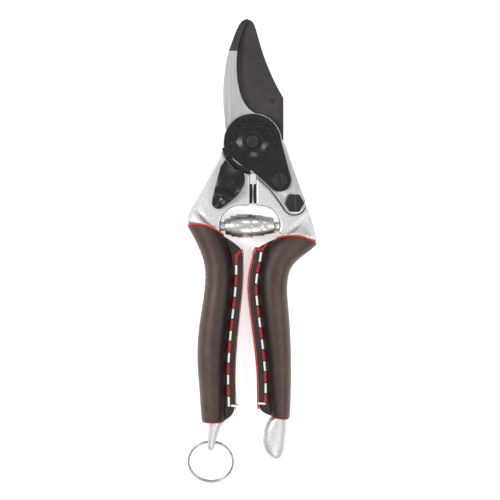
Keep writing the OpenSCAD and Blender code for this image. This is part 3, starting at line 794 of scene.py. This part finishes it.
def volute_spring():
    """One steel strip wound into two cones, their wide ends meeting in the middle."""
    placements = []
    for step in range(int(2 * SPRING_TURNS * SPRING_STEPS) + 1):
        turn = -SPRING_TURNS + step / SPRING_STEPS
        outward = 1 if turn > 0 else -1
        far = abs(turn)
        beyond = max(0.0, far - CONE_BEND)
        # each turn lies nearly square to the axis in front and steps sideways behind
        advance = turn - SIDESTEP * math.sin(2 * math.pi * turn) / (2 * math.pi)
        along = advance * (RIGHT_PITCH if turn > 0 else LEFT_PITCH)
        radius = CONE_RADIUS - CONE_TAPER * far - END_TAPER * beyond - STRIP_THICKNESS / 2
        slope = -outward * (CONE_LEAN * min(1.0, far) + END_LEAN * beyond)
        placements.append(
            Matrix.Translation(SPRING_MIDDLE + Vector((along * MM, 0, 0)))
            @ Matrix.Rotation(2 * math.pi * turn + math.radians(90), 4, "X")
            @ Matrix.Translation((0, radius * MM, 0))
            @ Matrix.Rotation(math.radians(slope), 4, "Z")
            @ Matrix.Diagonal((STRIP_WIDTH * MM, STRIP_THICKNESS * MM, 1, 1))
        )
    mesh_edit = bmesh.new()
    strip = bmesh.ops.create_grid(mesh_edit, x_segments=1, y_segments=1, size=0.5)
    sweep(mesh_edit, strip, placements)
    piece = add_piece(mesh_edit, "spring_volute")
    edge = piece.modifiers.new("rolled edge", "BEVEL")
    edge.width = 0.14 * MM
    edge.segments = 2
    edge.limit_method = "ANGLE"
    edge.angle_limit = math.radians(40)
    apply_modifiers(piece)
    piece.data.materials.clear()
    piece.data.materials.append(SPRING_STEEL)
    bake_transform(piece)
    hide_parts("volute_spring")


volute_spring()


# ---- key ring ----


# Where the ring hangs in the left handle's hole, and how far it lies tilted
RING_HANG = Vector((-20.6, -146.6, GRIP_HEIGHT)) * MM
RING_TILT = math.radians(17.5)
RING_RADIUS = 11.0 * MM
WIRE_RADIUS = 0.52 * MM
# Half the step between the two turns, and where the wire's ends lie round the ring
RING_SPREAD = 0.5 * MM
RING_OPENS = math.radians(40)
RING_TURNS = 1.96
RING_STEPS = 176


def key_ring():
    """Split ring: a flattened wire wound twice round, one turn behind the other."""
    tilt = (
        Matrix.Translation(RING_HANG)
        @ Matrix.Rotation(RING_TILT, 4, "X")
        @ Matrix.Translation((0, -RING_RADIUS, 0))
    )
    placements = []
    for step in range(RING_STEPS + 1):
        turn = RING_TURNS * step / RING_STEPS
        # the wire crosses from one turn to the other over a fifth of the way round
        rise = RING_SPREAD * (2 * smooth_step((turn - 0.9) / 0.2) - 1)
        placements.append(
            tilt
            @ Matrix.Translation((0, 0, rise))
            @ Matrix.Rotation(RING_OPENS + 2 * math.pi * turn, 4, "Z")
            @ Matrix.Translation((RING_RADIUS, 0, 0))
            @ Matrix.Rotation(math.radians(90), 4, "X")
            @ Matrix.Diagonal((1, 0.92, 1, 1))
        )
    mesh_edit = bmesh.new()
    wire = bmesh.ops.create_circle(mesh_edit, cap_ends=True, radius=WIRE_RADIUS, segments=12)
    sweep(mesh_edit, wire, placements)
    piece = add_piece(mesh_edit, "split_ring")
    settle(piece, "key_ring", NICKEL, ["key_ring"])


key_ring()


# ---- table, light and camera ----

TABLE_HALF_SIZE = 5
# The table's top lies a little under the bolt's head, so that they don't share a face
TABLE_GAP = 0.2 * MM
CAMERA_PLACE = (-0.0012, -0.0522, 0.490)

# name, place, what it points at, side (m), power (W)
SOFTBOXES = (
    ("left softbox", (-0.5, 0.05, 0.55), (0, -0.05, 0), 0.22, 2.8),
    ("right softbox", (0.55, -0.15, 0.6), (0, -0.05, 0), 0.25, 1.8),
    ("top softbox", (0.05, 0.5, 0.7), (0, -0.03, 0), 0.22, 0.6),
    ("front softbox", (0.06, -0.6, 0.55), (0, -0.03, 0), 0.26, 1.2),
)


def table():
    """A plain pale table top, which isn't part of the object."""
    mesh_edit = bmesh.new()
    bmesh.ops.create_grid(mesh_edit, x_segments=1, y_segments=1, size=TABLE_HALF_SIZE)
    top = add_piece(mesh_edit, "table")
    paint = new_material(
        "pale table", (0.92, 0.92, 0.92), 0.0, 0.9, Emission_Color=(1, 1, 1, 1),
        Emission_Strength=0.48,
    )[0]
    top.data.materials.append(paint)
    top.location.z = -TABLE_GAP


def soft_light():
    """A pale room that is brighter overhead, and four softboxes."""

    world = bpy.data.worlds.new("soft room")
    world.use_nodes = True
    sky = world.node_tree
    direction = sky.nodes.new("ShaderNodeTexCoord")
    parts = sky.nodes.new("ShaderNodeSeparateXYZ")
    sky.links.new(direction.outputs["Generated"], parts.inputs[0])
    shade = ramp(sky, parts.outputs["Z"], [(0.05, 0.16), (0.72, 1.0)])
    sky.links.new(shade, sky.nodes["Background"].inputs["Color"])
    sky.nodes["Background"].inputs["Strength"].default_value = 0.62
    bpy.context.scene.world = world

    for name, place, aim, size, power in SOFTBOXES:
        light = bpy.data.lights.new(name, "AREA")
        light.shape = "SQUARE"
        light.size = size
        light.energy = power
        lamp = bpy.data.objects.new(name, light)
        bpy.context.scene.collection.objects.link(lamp)
        lamp.location = place
        lamp.rotation_euler = (Vector(aim) - Vector(place)).to_track_quat("-Z", "Y").to_euler()


def camera_above():
    """A camera over the middle of the shears, looking straight down."""
    view = bpy.data.cameras.new("camera")
    view.lens = 70.5
    view.sensor_width = 36.0
    view.clip_start = 0.01
    camera = bpy.data.objects.new("camera", view)
    camera.location = CAMERA_PLACE
    bpy.context.scene.collection.objects.link(camera)
    bpy.context.scene.camera = camera


table()
soft_light()
camera_above()
bpy.context.scene.view_settings.view_transform = "Standard"
